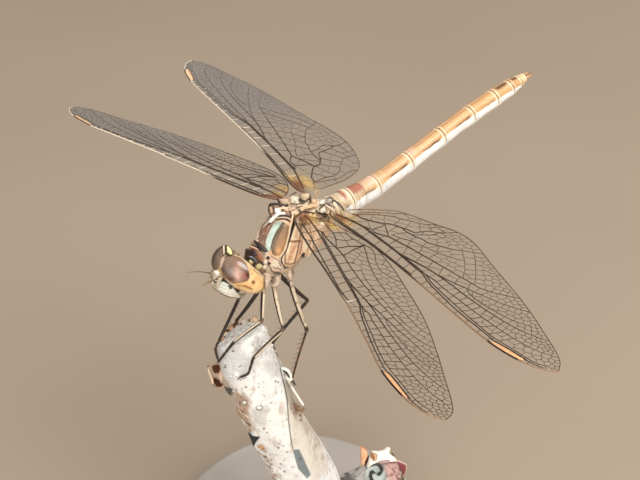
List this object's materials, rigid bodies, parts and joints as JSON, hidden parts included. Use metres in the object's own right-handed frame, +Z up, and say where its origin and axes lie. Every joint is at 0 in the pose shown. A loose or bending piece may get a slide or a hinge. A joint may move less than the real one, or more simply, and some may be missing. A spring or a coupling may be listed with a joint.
{
  "type": "dragonfly",
  "caption": "Life-size still model of a darter dragonfly at rest with open wings, gripping a short cut twig on a small display stand.",
  "frame": {"origin": "centre of the underside of the stand's round base", "axes": "+X is the insect's left, -Y is its front, +Z is up"},
  "size_m": [0.0585, 0.0489, 0.0506],
  "materials": {
    "shell_brown": "satin brown and tan insect shell with pale stripes and dark sutures",
    "abdomen_tan": "satin tan-orange shell rings with cream edges and a pale underside",
    "head_shell": "satin mint-white and cream head shell with black lines",
    "eye": "glossy faceted eye, taupe-brown above and golden tan below",
    "wing": "clear thin membrane with dark brown veins and a peach wing mark",
    "leg": "satin cream and black-brown striped limb",
    "bark": "whitish weathered bark with dark specks and brown broken wood",
    "stand_paint": "matt warm grey paint",
    "stand_steel": "brushed steel"
  },
  "bodies": {
    "root": {"abdomen_01": "abdomen_tan", "abdomen_02": "abdomen_tan", "abdomen_03": "abdomen_tan", "abdomen_04": "abdomen_tan", "abdomen_05": "abdomen_tan", "abdomen_06": "abdomen_tan", "abdomen_07": "abdomen_tan", "abdomen_08": "abdomen_tan", "abdomen_09": "abdomen_tan", "abdomen_10": "abdomen_tan", "antenna_left": "leg", "antenna_right": "leg", "cercus_left": "abdomen_tan", "cercus_right": "abdomen_tan", "eye_left": "eye", "eye_right": "eye", "face": "head_shell", "femur_fore_left": "leg", "femur_fore_right": "leg", "femur_hind_left": "leg", "femur_hind_right": "leg", "femur_mid_left": "leg", "femur_mid_right": "leg", "head": "head_shell", "perch_flake": "bark", "perch_stub": "bark", "perch_twig": "bark", "prothorax": "shell_brown", "stand_base": "stand_paint", "stand_rod": "stand_steel", "tarsus_fore_left": "leg", "tarsus_fore_right": "leg", "tarsus_hind_left": "leg", "tarsus_hind_right": "leg", "tarsus_mid_left": "leg", "tarsus_mid_right": "leg", "thorax": "shell_brown", "tibia_fore_left": "leg", "tibia_fore_right": "leg", "tibia_hind_left": "leg", "tibia_hind_right": "leg", "tibia_mid_left": "leg", "tibia_mid_right": "leg", "vertex": "head_shell", "wing_fore_left": "wing", "wing_fore_right": "wing", "wing_hind_left": "wing", "wing_hind_right": "wing"}
  },
  "joints": []
}
